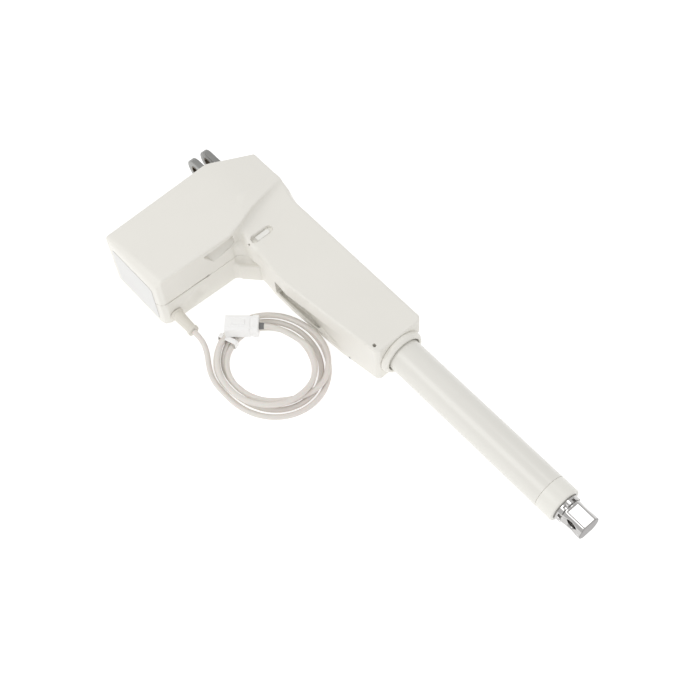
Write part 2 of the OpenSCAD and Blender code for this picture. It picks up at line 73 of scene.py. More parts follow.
CAMERA_AT = (0.7037, -0.3733, 0.9776)
CAMERA_RIGHT = (0.657, 0.752, -0.047)
CAMERA_BACK = (0.407, -0.302, 0.862)
LENS_MM = 68.33
WORLD_LIGHT = 0.76
FLOOR_GREY = 0.52
FLOOR_GLOW = 0.70
FLOOR_GAP = 0.0002


def make_camera():
    right = Vector(CAMERA_RIGHT).normalized()
    back = Vector(CAMERA_BACK)
    back = (back - right * back.dot(right)).normalized()
    up = back.cross(right)
    data = bpy.data.cameras.new("camera")
    data.sensor_width = 36.0
    data.lens = LENS_MM
    data.clip_end = 20.0
    camera = bpy.data.objects.new("camera", data)
    axes = Matrix((right, up, back)).transposed().to_4x4()
    camera.matrix_world = Matrix.Translation(CAMERA_AT) @ axes
    bpy.context.collection.objects.link(camera)
    bpy.context.scene.camera = camera


def area_light(name, place, target, size, watts):
    data = bpy.data.lights.new(name, "AREA")
    data.shape = "DISK"
    data.size = size
    data.energy = watts
    lamp = bpy.data.objects.new(name, data)
    lamp.location = place
    lamp.rotation_euler = (Vector(target) - Vector(place)).to_track_quat("-Z", "Y").to_euler()
    bpy.context.collection.objects.link(lamp)


def make_studio():
    middle = (0.22, -0.03, 0.0)
    area_light("key", (-0.05, -0.85, 1.05), middle, 0.8, 3.8)
    area_light("streak", (0.177, 0.51, 1.33), (0.481, 0.0, 0.0), 0.42, 1.0)
    world = bpy.data.worlds.new("studio")
    bpy.context.scene.world = world
    world.use_nodes = True
    background = world.node_tree.nodes["Background"]
    background.inputs["Color"].default_value = (1.0, 1.0, 1.0, 1.0)
    background.inputs["Strength"].default_value = WORLD_LIGHT
    bpy.context.scene.view_settings.view_transform = "Standard"


def make_floor():
    mesh = bpy.data.meshes.new("floor")
    bm = bmesh.new()
    bmesh.ops.create_grid(bm, x_segments=2, y_segments=2, size=4.0)
    bm.to_mesh(mesh)
    bm.free()
    floor = bpy.data.objects.new("floor", mesh)
    floor.location = (0.2, 0.0, FLOOR_Z * MM - FLOOR_GAP)
    bpy.context.collection.objects.link(floor)
    white = material("floor_white", (FLOOR_GREY, FLOOR_GREY, FLOOR_GREY), rough=0.95, grain=0.0)
    shader = white.node_tree.nodes["Principled BSDF"]
    shader.inputs["Emission Color"].default_value = (1.0, 1.0, 1.0, 1.0)
    shader.inputs["Emission Strength"].default_value = FLOOR_GLOW
    mesh.materials.append(white)


# ---- Materials ----

BROAD_SCALE = 18.0
BUMP_DEPTH = 0.0004
DRAWN_OUT = 0.03


def material(name, colour, rough=0.4, metal=0.0, grain=0.02, grain_scale=900.0, bump=0.02,
             coat=0.0, brushed=None, tint=None, sss=0.0):
    """A procedural finish: a soft colour variation, fine grain in the roughness, and a slight bump.
    brushed is an axis along which the grain is drawn out; tint is a second colour in broad patches."""
    mat = bpy.data.materials.new(name)
    mat.use_nodes = True
    tree = mat.node_tree
    shader = tree.nodes["Principled BSDF"]
    shader.inputs["Metallic"].default_value = metal
    shader.inputs["Coat Weight"].default_value = coat
    shader.inputs["Coat Roughness"].default_value = 0.12
    shader.inputs["Subsurface Weight"].default_value = sss
    shader.inputs["Subsurface Scale"].default_value = 0.002
    place = tree.nodes.new("ShaderNodeTexCoord")
    stretch = tree.nodes.new("ShaderNodeMapping")
    tree.links.new(place.outputs["Object"], stretch.inputs["Vector"])
    if brushed is not None:
        stretch.inputs["Scale"].default_value = [DRAWN_OUT if a == brushed else 1.0 for a in range(3)]
    fine = tree.nodes.new("ShaderNodeTexNoise")
    fine.inputs["Scale"].default_value = grain_scale
    fine.inputs["Detail"].default_value = 4.0
    tree.links.new(stretch.outputs["Vector"], fine.inputs["Vector"])
    broad = tree.nodes.new("ShaderNodeTexNoise")
    broad.inputs["Scale"].default_value = BROAD_SCALE
    broad.inputs["Detail"].default_value = 3.0
    tree.links.new(place.outputs["Object"], broad.inputs["Vector"])
    # colour: the base colour, drifting to the tint, or to a darker shade, in broad patches
    ramp = tree.nodes.new("ShaderNodeValToRGB")
    second = tint if tint else tuple(c * (1.0 - 1.5 * grain) for c in colour)
    ramp.color_ramp.elements[0].position = 0.35
    ramp.color_ramp.elements[0].color = (*second, 1.0)
    ramp.color_ramp.elements[1].position = 0.75
    ramp.color_ramp.elements[1].color = (*colour, 1.0)
    tree.links.new(broad.outputs["Fac"], ramp.inputs["Fac"])
    tree.links.new(ramp.outputs["Color"], shader.inputs["Base Color"])
    # roughness: a narrow range about its mean
    spread = tree.nodes.new("ShaderNodeMapRange")
    spread.inputs["To Min"].default_value = max(0.02, rough * 0.82)
    spread.inputs["To Max"].default_value = min(1.0, rough * 1.18)
    tree.links.new(fine.outputs["Fac"], spread.inputs["Value"])
    tree.links.new(spread.outputs["Result"], shader.inputs["Roughness"])
    if bump > 0.0:
        relief = tree.nodes.new("ShaderNodeBump")
        relief.inputs["Strength"].default_value = bump
        relief.inputs["Distance"].default_value = BUMP_DEPTH
        tree.links.new(fine.outputs["Fac"], relief.inputs["Height"])
        tree.links.new(relief.outputs["Normal"], shader.inputs["Normal"])
    return mat


IVORY = (0.83, 0.81, 0.755)


def make_materials():
    """One finish for each material slot of the record."""
    return {
        "housing": material("ivory_housing", IVORY, rough=0.38, grain=0.012, bump=0.05, grain_scale=1400.0),
        "plate": material("plate_film", (0.755, 0.75, 0.735), rough=0.5, grain=0.02),
        "white_plug": material("white_plug", (0.88, 0.87, 0.83), rough=0.35),
        "painted_tube": material("tube_paint", (0.79, 0.775, 0.725), rough=0.3, coat=0.12, grain=0.01,
                                 bump=0.015, grain_scale=300.0),
        "tube_cap": material("cap_plastic", (0.84, 0.825, 0.77), rough=0.35, grain=0.012),
        "grey_plastic": material("grey_plastic", (0.2, 0.2, 0.2), rough=0.5),
        "seal_rubber": material("seal_rubber", (0.03, 0.03, 0.03), rough=0.7, bump=0.1),
        "dark_steel": material("dark_steel", (0.42, 0.42, 0.405), rough=0.42, metal=0.85, brushed=0,
                               bump=0.1, tint=(0.3, 0.3, 0.29), grain_scale=500.0),
        "bronze": material("sintered_bronze", (0.17, 0.145, 0.115), rough=0.5, metal=0.9, bump=0.15),
        "bearing_steel": material("bearing_steel", (0.6, 0.6, 0.61), rough=0.18, metal=1.0),
        "cast_metal": material("cast_metal", (0.55, 0.55, 0.56), rough=0.5, metal=0.9, bump=0.2),
        "motor_steel": material("motor_steel", (0.18, 0.18, 0.19), rough=0.35, metal=0.8, brushed=1),
        "magnet": material("ferrite", (0.05, 0.05, 0.055), rough=0.6),
        "zinc_plate": material("zinc_plate", (0.6, 0.6, 0.58), rough=0.32, metal=1.0,
                               tint=(0.5, 0.5, 0.42)),
        "zinc_screws": material("zinc_screws", (0.6, 0.6, 0.6), rough=0.3, metal=1.0),
        "black_plastic": material("black_plastic", (0.03, 0.03, 0.03), rough=0.45),
        "carbon": material("carbon", (0.04, 0.04, 0.04), rough=0.8),
        "circuit_board": material("circuit_board", (0.02, 0.16, 0.06), rough=0.3, coat=0.3),
        "blue_plastic": material("blue_plastic", (0.05, 0.16, 0.45), rough=0.3),
        "capacitor_sleeve": material("capacitor_sleeve", (0.02, 0.03, 0.12), rough=0.25),
        "soft_white": material("soft_white", (0.74, 0.71, 0.64), rough=0.55, bump=0.1, grain_scale=700.0),
        "cord_jacket": material("cord_jacket", (0.76, 0.705, 0.67), rough=0.42, grain=0.03,
                                bump=0.12, grain_scale=500.0, tint=(0.76, 0.73, 0.68), sss=0.05),
        "plug_white": material("plug_white", (0.95, 0.945, 0.935), rough=0.35, grain=0.01),
        "rolled_steel": material("rolled_steel", (0.5, 0.5, 0.5), rough=0.28, metal=1.0, brushed=0),
        "gear_plastic": material("gear_acetal", (0.82, 0.8, 0.72), rough=0.4),
        "laminations": material("laminations", (0.3, 0.3, 0.31), rough=0.4, metal=0.9, brushed=0),
        "copper": material("copper", (0.6, 0.26, 0.12), rough=0.3, metal=1.0),
        "rod_chrome": material("rod_chrome", (0.56, 0.55, 0.54), rough=0.09, metal=1.0, grain=0.02,
                               brushed=0, grain_scale=300.0, bump=0.015),
        "turned_steel": material("turned_steel", (0.33, 0.32, 0.315), rough=0.38, metal=1.0, bump=0.05),
        "nut_brass": material("nut_brass", (0.62, 0.45, 0.18), rough=0.3, metal=1.0),
    }


def dress_nodes(finishes):
    """Every CAD node takes the finish of its material slot."""
    for part in frame["record"]["subparts"]:
        mesh = nodes[part["node"]].data
        mesh.materials.clear()
        mesh.materials.append(finishes[part["material_slot"]])


# ---- Meshes ----

SHARP_ANGLE = math.radians(42.0)


def add_piece(name, verts_mm, faces, finish, slot, body, replaced=()):
    """A mesh piece from points in millimetres, riding on a body."""
    mesh = bpy.data.meshes.new(name)
    mesh.from_pydata([tuple(c * MM for c in v) for v in verts_mm], [], faces)
    mesh.validate()
    mesh.shade_smooth()
    mesh.set_sharp_from_angle(angle=SHARP_ANGLE)
    piece = bpy.data.objects.new(name, mesh)
    bpy.context.collection.objects.link(piece)
    mesh.materials.append(finish)
    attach(piece, body)
    if replaced:
        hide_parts(*replaced)
    return piece


def lathe(profile, origin, segments=96):
    """Points and faces of a closed profile of (along, radius) pairs turned about X through origin."""
    verts, faces = [], []
    count = len(profile)
    for s in range(segments):
        turn = 2.0 * math.pi * s / segments
        for along, radius in profile:
            point = (along, radius * math.cos(turn), radius * math.sin(turn))
            verts.append(tuple(o + p for o, p in zip(origin, point)))
        for k in range(count):
            a, b = s * count + k, s * count + (k + 1) % count
            faces.append((a, b, (b + count) % (count * segments), (a + count) % (count * segments)))
    return verts, faces


def rounded(points, radius, steps=4):
    """The closed profile with each corner rounded; radius is one size or one for each corner."""
    radii = radius if isinstance(radius, (list, tuple)) else [radius] * len(points)
    out = []
    for i, corner in enumerate(points):
        before, after = Vector(points[i - 1]), Vector(points[(i + 1) % len(points)])
        c = Vector(corner)
        if radii[i] <= 0.0:
            out.append(tuple(c))
            continue
        u, v = (before - c), (after - c)
        angle = u.angle(v)
        back = min(radii[i] / math.tan(angle / 2.0), 0.49 * u.length, 0.49 * v.length)
        a, b = c + u.normalized() * back, c + v.normalized() * back
        for k in range(steps + 1):
            t = k / steps
            out.append(tuple((1 - t) ** 2 * a + 2 * t * (1 - t) * c + t ** 2 * b))
    return out


# ---- Distance fields: a form is a function of points, in millimetres, that is negative inside ----

def meet(a, b, r):
    """What is inside both forms, with the edge between them rounded to radius r."""
    return np.minimum(-r, np.maximum(a, b)) + np.hypot(np.maximum(a + r, 0), np.maximum(b + r, 0))


def join(a, b, r):
    """What is inside either form, with a fillet of radius r in the corner between them."""
    return -meet(-a, -b, r)


def cut(a, b, r=0.0):
    """The first form without the second."""
    return meet(a, -b, r)


def plane(p, through, outward):
    """Distance from a plane, positive on its outward side."""
    n = np.array(outward, float)
    n /= np.linalg.norm(n)
    return (p[0] - through[0]) * n[0] + (p[1] - through[1]) * n[1] + (p[2] - through[2]) * n[2]


def outline(p, points, r=0.0, axes=(0, 1)):
    """Distance to a polygon in the plane of two axes, with its corners rounded to radius r."""
    pts = [np.array(q, float) for q in (inset(points, r) if r > 0.0 else points)]
    x, y = p[axes[0]], p[axes[1]]
    shape = np.broadcast(x, y).shape
    nearest = np.full(shape, 1e9, dtype=np.float32)
    side = np.ones(shape, dtype=np.float32)
    for a, b in zip(pts, pts[1:] + pts[:1]):
        e = b - a
        wx, wy = x - a[0], y - a[1]
        t = np.clip((wx * e[0] + wy * e[1]) / (e @ e), 0.0, 1.0)
        nearest = np.minimum(nearest, (wx - e[0] * t) ** 2 + (wy - e[1] * t) ** 2)
        c1, c2, c3 = y >= a[1], y < b[1], e[0] * wy > e[1] * wx
        side = np.where((c1 & c2 & c3) | (~c1 & ~c2 & ~c3), -side, side)
    return side * np.sqrt(nearest) - r


def inset(points, d):
    """An anticlockwise outline moved inward by d."""
    out = []
    for i, b in enumerate(points):
        a, c = np.array(points[i - 1], float), np.array(points[(i + 1) % len(points)], float)
        b = np.array(b, float)
        u, v = (b - a) / np.linalg.norm(b - a), (c - b) / np.linalg.norm(c - b)
        p1, p2 = b + d * np.array((-u[1], u[0])), b + d * np.array((-v[1], v[0]))
        gap = p2 - p1
        t = (gap[0] * v[1] - gap[1] * v[0]) / (u[0] * v[1] - u[1] * v[0])
        out.append(tuple(p1 + u * t))
    return out


def tube_field(p, a, b, r):
    """A round-ended tube between two points."""
    a, b = np.array(a, float), np.array(b, float)
    e = b - a
    t = sum((p[i] - a[i]) * e[i] for i in range(3)) / (e @ e)
    t = np.clip(t, 0.0, 1.0)
    return np.sqrt(sum((p[i] - a[i] - e[i] * t) ** 2 for i in range(3))) - r


def from_axis(p):
    """Distance from the screw's axis, which is X."""
    return np.hypot(p[1], p[2])


CORNERS = [(i, j, k) for i in (0, 1) for j in (0, 1) for k in (0, 1)]


def mesh_of(field, low, high, step):
    """Points and quads of a form's surface: one point in each grid cell that the surface crosses."""
    axes = [np.arange(lo - 1.5 * step, hi + 2.5 * step, step, dtype=np.float32)
            for lo, hi in zip(low, high)]
    grid = np.meshgrid(*axes, indexing="ij", sparse=True)
    value = field(grid).astype(np.float32)
    inside = value < 0.0
    n = np.array(value.shape) - 1

    def corner(array, c):
        return array[c[0]:c[0] + n[0], c[1]:c[1] + n[1], c[2]:c[2] + n[2]]

    count = sum(corner(inside, c).astype(np.int8) for c in CORNERS)
    mixed = (count > 0) & (count < 8)
    cells = np.argwhere(mixed)
    index = np.full(mixed.shape, -1, dtype=np.int64)
    index[mixed] = np.arange(len(cells))
    total = np.zeros((len(cells), 3))
    hits = np.zeros(len(cells))
    for a in CORNERS:
        for axis in range(3):
            if a[axis] == 1:
                continue
            b = tuple(1 if i == axis else a[i] for i in range(3))
            va = value[tuple((cells + a).T)]
            vb = value[tuple((cells + b).T)]
            crossing = (va < 0.0) != (vb < 0.0)
            t = np.where(crossing, va / np.where(crossing, va - vb, 1.0), 0.0)
            point = (cells + a).astype(float)
            point[:, axis] += t
            total += point * crossing[:, None]
            hits += crossing
    start = np.array([a[0] for a in axes])
    points = start + step * total / hits[:, None]
    quads = []
    for axis in range(3):
        u, v = (axis + 1) % 3, (axis + 2) % 3
        low_side = [slice(None)] * 3
        high_side = [slice(None)] * 3
        low_side[axis], high_side[axis] = slice(0, -1), slice(1, None)
        crossing = inside[tuple(low_side)] != inside[tuple(high_side)]
        at = np.argwhere(crossing)
        keep = (at[:, u] > 0) & (at[:, v] > 0) & (at[:, u] < n[u]) & (at[:, v] < n[v])
        at = at[keep]
        ring = []
        for du, dv in ((-1, -1), (0, -1), (0, 0), (-1, 0)):
            cell = at.copy()
            cell[:, u] += du
            cell[:, v] += dv
            ring.append(index[tuple(cell.T)])
        quad = np.stack(ring, axis=1)
        outward = inside[tuple(at.T)]
        quad[~outward] = quad[~outward][:, ::-1]
        quads.append(quad)
    return onto(field, points, step), np.concatenate(quads)


def onto(field, points, step, rounds=4):
    """The points moved along the field's slope to its zero level."""
    tiny = 0.02
    for _ in range(rounds):
        p = [points[:, i] for i in range(3)]
        f = field(p)
        slope = np.zeros_like(points)
        for i in range(3):
            q = [c + tiny if k == i else c for k, c in enumerate(p)]
            slope[:, i] = (field(q) - f) / tiny
        size = np.maximum((slope ** 2).sum(axis=1), 0.25)
        move = -(f / size)[:, None] * slope
        points = points + np.clip(move, -0.5 * step, 0.5 * step)
    return points


def field_piece(name, field, low, high, step, finish, slot, body, replaced=()):
    """A mesh piece from a form and the box that holds it."""
    points, quads = mesh_of(field, low, high, step if FINE else step * QUICK_COARSER)
    return add_piece(name, points.tolist(), quads.tolist(), finish, slot, body, replaced)


# ---- Housing ----

# outlines are anticlockwise and seen from above, save the window's, which is seen along X
RIDGE_Y = -12.6
SLOPE = (0, 7.5, 42.6)
INNER_SIDE = 103.0
MOTOR_OUTLINE = [(29, -127), (94, -127), (98.6, -125.2), (101.1, -120.5), (INNER_SIDE, -46), (98, -28),
                 (92, RIDGE_Y), (80.5, 30), (42, 30), (26, RIDGE_Y)]
DECK_OUTLINE = [(80, -33), (104, -33), (142, -35.5), (165, -37), (268, -25.3), (271, -22), (271, 22.5),
                (267.5, 26), (96, 26), (81, 30)]
KEEL_OUTLINE = [(80, -32), (127, -32), (142, -33.5), (166, -33.5), (228, -29.5), (267, -24), (270, -21),
                (270, 21.5), (266.5, 25), (96, 25), (81, 29)]
SADDLE_OUTLINE = [(75, -12), (97.5, -29.5), (116, -31), (112, 26), (96, 26), (81, 30), (75, 29)]
GUSSET_OUTLINE = [(99, -47), (107.7, -44.6), (117.9, -35.3), (121, -33), (121, -28), (99, -28)]
GROOVE_OUTLINE = [(234, -45), (230, -29.4), (150, -25), (143, -25.5), (143, -45)]
CORNER_OUTLINE = [(97, -43), (102.5, -42), (107, -37.5), (112, -34.3), (112, -28), (97, -28)]
GROOVE_BOTTOM_Z, TRENCH_BOTTOM_Z = -19.0, -24.5
TRENCH_OUTLINE = [(145, -31.4), (150, -31.4), (196, -30.2), (199, -27.8), (151, -23), (144, -24)]
WINDOW_OUTLINE = [(-75, 33.2), (-66, 19.4), (-41.5, 22.6), (-42.5, 35.2)]
SCREW_PLACES = [(37, -118), (93, -118), (36, -62), (96, -62), (36, -24), (47, 21.5), (76, 23.6),
                (120, 20.2), (190, 20.2), (258, 20.2), (127, -28), (236, -25.3)]
SLOT_START, SLOT_MID, SLOT_END = (112.1, -27.5), (111.8, -13.7), (111.7, -10.9)
RELIEF = (101.6, -114.0, -16.0)
WALL = 2.5
POCKET_WALL = 1.6
SEAM_GAP = 0.03
HOUSING_STEP = 0.9


def motor_block(p):
    """The housing over the motor and gears: flat roof, sloped far end, bevelled near edge."""
    roof = plane(p, (0, 0, ROOF_Z), (0, 0, 1))
    slope = plane(p, (0, RIDGE_Y, ROOF_Z), SLOPE)
    near_end = plane(p, (101, -119.5, ROOF_Z), (0.0764, -1, 1))
    form = meet(outline(p, MOTOR_OUTLINE, 1.6), meet(roof, slope, 2.0), 2.0)
    form = meet(form, near_end, 2.0)
    return meet(form, FLOOR_Z - p[2], 2.0)


def deck_block(p):
    """The upper half of the long housing over the screw. Its near top edge is rounder by the gears."""
    edge_r, grows_by, soft_from, soft_over = 1.6, 5.5, 150.0, 46.0
    softness = np.clip((soft_from - p[0]) / soft_over, 0.0, 1.0) * (p[1] < 0.0)
    form = meet(outline(p, DECK_OUTLINE, 2.0), p[2] - DECK_Z, edge_r + grows_by * softness)
    return meet(form, SPLIT_Z - 0.1 - p[2], 0.6)


def keel_block(p):
    """The lower half of the long housing, a little past the split so that it joins the deck."""
    form = meet(outline(p, KEEL_OUTLINE, 2.0), FLOOR_Z - p[2], 1.8)
    return meet(form, p[2] - SPLIT_Z - 4.0, 0.0)


def saddle_block(p):
    """The slope from the gear housing's roof down to the screw housing, in two facets."""
    ridge, near, far = (90.6, RIDGE_Y, ROOF_Z), (109.5, -27, DECK_Z), (97.0, 26, DECK_Z)
    low_corner, bottom_z = (80, 29, 31.6), 10.0
    front_facet = plane(p, ridge, facing(ridge, near, far))
    far_facet = plane(p, ridge, facing(ridge, far, low_corner))
    form = meet(outline(p, SADDLE_OUTLINE, 1.0), meet(front_facet, far_facet, 20.0), 2.0)
    form = meet(form, plane(p, (0, RIDGE_Y, ROOF_Z), SLOPE), 2.0)
    return meet(form, bottom_z - p[2], 0.0)


def facing(a, b, c):
    """The direction square to the plane through three points."""
    a, b, c = (np.array(v, float) for v in (a, b, c))
    return np.cross(b - a, c - a)


def side_window(p):
    """The slanted pocket high on the motor housing's inner side."""
    ends = outline(p, WINDOW_OUTLINE, 0.6, axes=(1, 2))
    back = plane(p, (INNER_SIDE - 0.4, 0, 19.0), (-0.86, 0, -0.51))
    return meet(np.maximum(ends, back), INNER_SIDE - 18.0 - p[0], 0.0)


def slot_round(p, start, end, r, z_low):
    """An upright slot with round ends."""
    a, b = np.array(start, float), np.array(end, float)
    e = b - a
    t = np.clip(((p[0] - a[0]) * e[0] + (p[1] - a[1]) * e[1]) / (e @ e), 0.0, 1.0)
    d = np.hypot(p[0] - a[0] - e[0] * t, p[1] - a[1] - e[1] * t) - r
    return meet(d, z_low - p[2], 0.0)


def recesses(p):
    """What is cut into the housing from outside, each with the radius of its edge."""
    # the slit along the split on the motor's inner side, and the round hole at its end
    slit_end, slit_half = -75.2, 0.75
    slit = tube_field(p, (INNER_SIDE, -119, SPLIT_Z), (INNER_SIDE, slit_end - 0.3, SPLIT_Z), 3.4)
    yield np.maximum(slit, np.abs(p[2] - SPLIT_Z) - slit_half), 0.2
    across = INNER_SIDE - 7.0, INNER_SIDE + 7.0
    yield tube_field(p, (across[0], slit_end, SPLIT_Z), (across[1], slit_end, SPLIT_Z), 2 * slit_half), 0.2
    yield side_window(p), 0.7
    # the scoop round the strain relief
    yield tube_field(p, (112.5, -116, -22), (110.5, -88, -9), 11.0), 2.0
    # the slanted slot and the corner hole in the deck
    hole_x, hole_y = 263.5, -21.3
    yield slot_round(p, SLOT_START, SLOT_END, 3.4, DECK_Z - 1.8), 0.4
    yield slot_round(p, (hole_x, hole_y), (hole_x + 0.1, hole_y), 1.6, DECK_Z - 9.0), 0.3
    # the notch in the deck's edge beside the slot, and the small mark on each of its long edges
    mark_x, mark_r = 192, 0.8
    yield tube_field(p, (112.3, -33.4, 23.0), (113.4, -33.2, 17.0), 0.9), 0.4
    for y in (-34.2, 26.0):
        yield tube_field(p, (mark_x, y, DECK_Z + 0.3), (mark_x, y, DECK_Z - 2.0), mark_r), 0.2


def groove(p):
    """The long groove in the screw housing's side, with a trench behind its lower lip."""
    below_split = p[2] - SPLIT_Z
    side = meet(outline(p, GROOVE_OUTLINE, 0.5), meet(GROOVE_BOTTOM_Z - p[2], below_split, 0.0), 0.5)
    trench = meet(outline(p, TRENCH_OUTLINE, 0.4), meet(TRENCH_BOTTOM_Z - p[2], below_split, 0.0), 0.3)
    return np.minimum(side, trench)


def bores(p):
    """What is cut from both shells: the clevis neck, the tube's collar and the cord's hole."""
    neck_r, collar_r, cord_hole_r = 9.3, 19.4, 4.1
    neck = meet(from_axis(p) - neck_r, p[0] - 45.0, 0.0)
    collar = meet(from_axis(p) - collar_r, 255.0 - p[0], 0.0)
    cord_hole = np.hypot(p[1] - RELIEF[1], p[2] - RELIEF[2]) - cord_hole_r
    cord_hole = np.maximum(cord_hole, 95.0 - p[0])
    return np.minimum(np.minimum(neck, collar), cord_hole)


def whole_housing(p, motor, deck, keel, side):
    """Both shells as one solid, with the side groove but without the recesses and bores."""
    saddle = saddle_block(p)
    form = join(join(deck, saddle, 14.0), keel, 0.0)
    gusset = meet(outline(p, GUSSET_OUTLINE, 1.0), meet(p[2] + 4.0, FLOOR_Z - p[2], 0.0), 1.2)
    form = cut(join(form, gusset, 0.6), side, 0.5)
    form = np.minimum(join(form, motor, 4.0), join(saddle, motor, 3.0))
    # the rounded corner over the gusset, where the motor's side meets the deck's
    corner = meet(outline(p, CORNER_OUTLINE, 1.5), meet(p[2] - 19.0, -5.0 - p[2], 1.0), 3.0)
    form = join(form, corner, 3.0)
    # the fillets between level faces would bulge past them
    far_side = HOUSING_HIGH[1]
    form = meet(form, np.maximum(FLOOR_Z + 0.02 - p[2], p[1] - far_side + 0.02), 0.3)
    return np.maximum(form, p[2] - ROOF_Z)


def room_inside(p, motor, deck, keel, side):
    """The space inside the housing, a wall's thickness in from its outer faces."""
    upper, lower = np.maximum(deck, SPLIT_Z - p[2]), np.maximum(keel, p[2] - SPLIT_Z)
    room = np.maximum(np.minimum(motor, np.minimum(upper, lower)), -side) + WALL
    # the passage between the deck's room and the keel's, through the split
    passage = np.maximum(outline(p, DECK_OUTLINE) + 4.0, np.abs(p[2] - SPLIT_Z) - 6.0)
    return np.minimum(room, passage)


def with_posts(p, form, outer):
    """The lower shell's form with a post and a deep screw hole at each screw."""
    post_r, post_top, hole_r, hole_depth = 4.6, -15.0, 3.05, 3.6
    for x, y in SCREW_PLACES:
        around = np.hypot(p[0] - x, p[1] - y)
        post = np.maximum(np.maximum(around - post_r, outer + 0.3), p[2] - post_top)
        form = np.minimum(form, post)
        form = cut(form, np.maximum(around - hole_r, p[2] - FLOOR_Z - hole_depth), 0.3)
    return form


def shell(p, half):
    """The upper (half 1) or lower (half -1) shell: the whole housing less its room and the other half."""
    blocks = motor_block(p), deck_block(p), keel_block(p), groove(p)
    outer, room = whole_housing(p, *blocks), room_inside(p, *blocks)
    for pocket, edge in recesses(p):
        outer = cut(outer, pocket, edge)
        room = np.maximum(room, POCKET_WALL - pocket)
    form = cut(np.maximum(outer, -room), bores(p), 0.3)
    if half < 0.0:
        form = with_posts(p, form, outer)
    return meet(form, half * (SPLIT_Z - p[2]) + SEAM_GAP / 2.0, 0.12)


def top_shell(p):
    return shell(p, 1.0)


def bottom_shell(p):
    return shell(p, -1.0)


def make_shells(finishes):
    low, high = HOUSING_LOW, HOUSING_HIGH
    field_piece("upper_housing", top_shell, (low[0], low[1], SPLIT_Z), high, HOUSING_STEP,
                finishes["housing"], "housing", "housing", ["top_shell"])
    field_piece("lower_housing", bottom_shell, low, (high[0], high[1], SPLIT_Z), HOUSING_STEP,
                finishes["housing"], "housing", "housing", ["bottom_shell"])


def make_collar(finishes):
    """The flange and lip round the tube where it leaves the housing."""
    (back, _, _), (front, _, flange_r) = box_mm("front_collar")
    tube_r, body_r, lip_r, face_x = 16.03, 19.3, 17.4, 271.1
    profile = [(back, tube_r), (back, body_r), (face_x, body_r), (face_x, flange_r), (front - 2.6, flange_r),
               (front, 19.6), (front, lip_r), (270, lip_r), (270, tube_r)]
    profile = rounded(profile, [0, 0.5, 0, 0.6, 1.4, 1.0, 0.5, 0, 0])
    add_piece("tube_collar", *lathe(profile, (0, 0, 0)), finishes["housing"], "housing", "housing",
              ["front_collar"])


def make_plate(finishes):
    """The blank film on the motor housing's end face."""
    low, high = box_mm("rating_plate")
    corners = [(low[0], low[2]), (high[0], low[2]), (high[0], high[2]), (low[0], high[2])]
    middle_y, half_film = high[1] - 0.2, 0.25

    def film(p):
        return meet(outline(p, corners, 3.0, axes=(0, 2)), np.abs(p[1] - middle_y) - half_film, 0.1)

    field_piece("blank_plate", film, low, high, 0.5, finishes["plate"], "plate", "housing", ["rating_plate"])


def make_slot_insert(finishes):
    """The plug that fills most of the slanted slot in the deck."""
    def insert(p):
        form = slot_round(p, SLOT_START, SLOT_MID, 2.7, DECK_Z - 1.75)
        return meet(form, p[2] - DECK_Z + 0.5, 0.5)

    field_piece("slot_insert", insert, (104, -25, 22), (114, -9, 24), 0.4, finishes["white_plug"],
                "white_plug", "housing", ["access_plug"])


# ---- Tube, rod and rear end ----

def make_end_cap(finishes):
    """The cap over the tube's end, with grooves inside for the guide bush and the wiper."""
    tip, cap_r, _ = box_mm("tube_end_cap")[1]
    back, front = 438.05, 459.02
    wall_r, tube_r, bush_r, wiper_r = 12.8, 14.27, 13.63, 14.24
    profile = [(back, tube_r), (448, tube_r), (448, 15.5), (448.5, cap_r), (tip, cap_r), (tip, wall_r),
               (464.5, wall_r), (464.5, wiper_r), (460, wiper_r), (460, wall_r), (front, wall_r),
               (front, bush_r), (439.0, bush_r), (439.0, wall_r), (back, wall_r)]
    profile = rounded(profile, [0, 0, 0.2, 0.2, 2.6, 0.6] + [0] * 9)
    add_piece("end_cap", *lathe(profile, (0, 0, 0), 128), finishes["tube_cap"], "tube_cap", "housing",
              ["tube_end_cap"])


EYE_LOW, EYE_HIGH = box_mm("rod_eye")
EYE_FACE_X = EYE_HIGH[0] - 0.35


def make_eye(finishes):
    """The rod's eye, its turned end face and the ring behind it."""
    field_piece("eye_end", lambda p: np.maximum(eye_form(p), p[0] - EYE_FACE_X), EYE_LOW, EYE_HIGH, 0.45,
                finishes["rod_chrome"], "rod_chrome", "rod", ["rod_eye"])
    field_piece("eye_face", lambda p: np.maximum(eye_form(p), EYE_FACE_X + 0.02 - p[0]),
                (EYE_HIGH[0] - 0.7, *EYE_LOW[1:]), EYE_HIGH, 0.3, finishes["turned_steel"], "rolled_steel",
                "rod", ["rod_eye"])
    field_piece("notched_ring", ring_form, (466, -12.4, -12.4), (470.6, 12.4, 12.4), 0.35,
                finishes["rod_chrome"], "rod_chrome", "rod", ["rod_lock_ring"])


def make_fork(finishes):
    field_piece("fork", fork_form, *box_mm("rear_clevis"), 0.6, finishes["dark_steel"], "dark_steel",
                "housing", ["rear_clevis"])


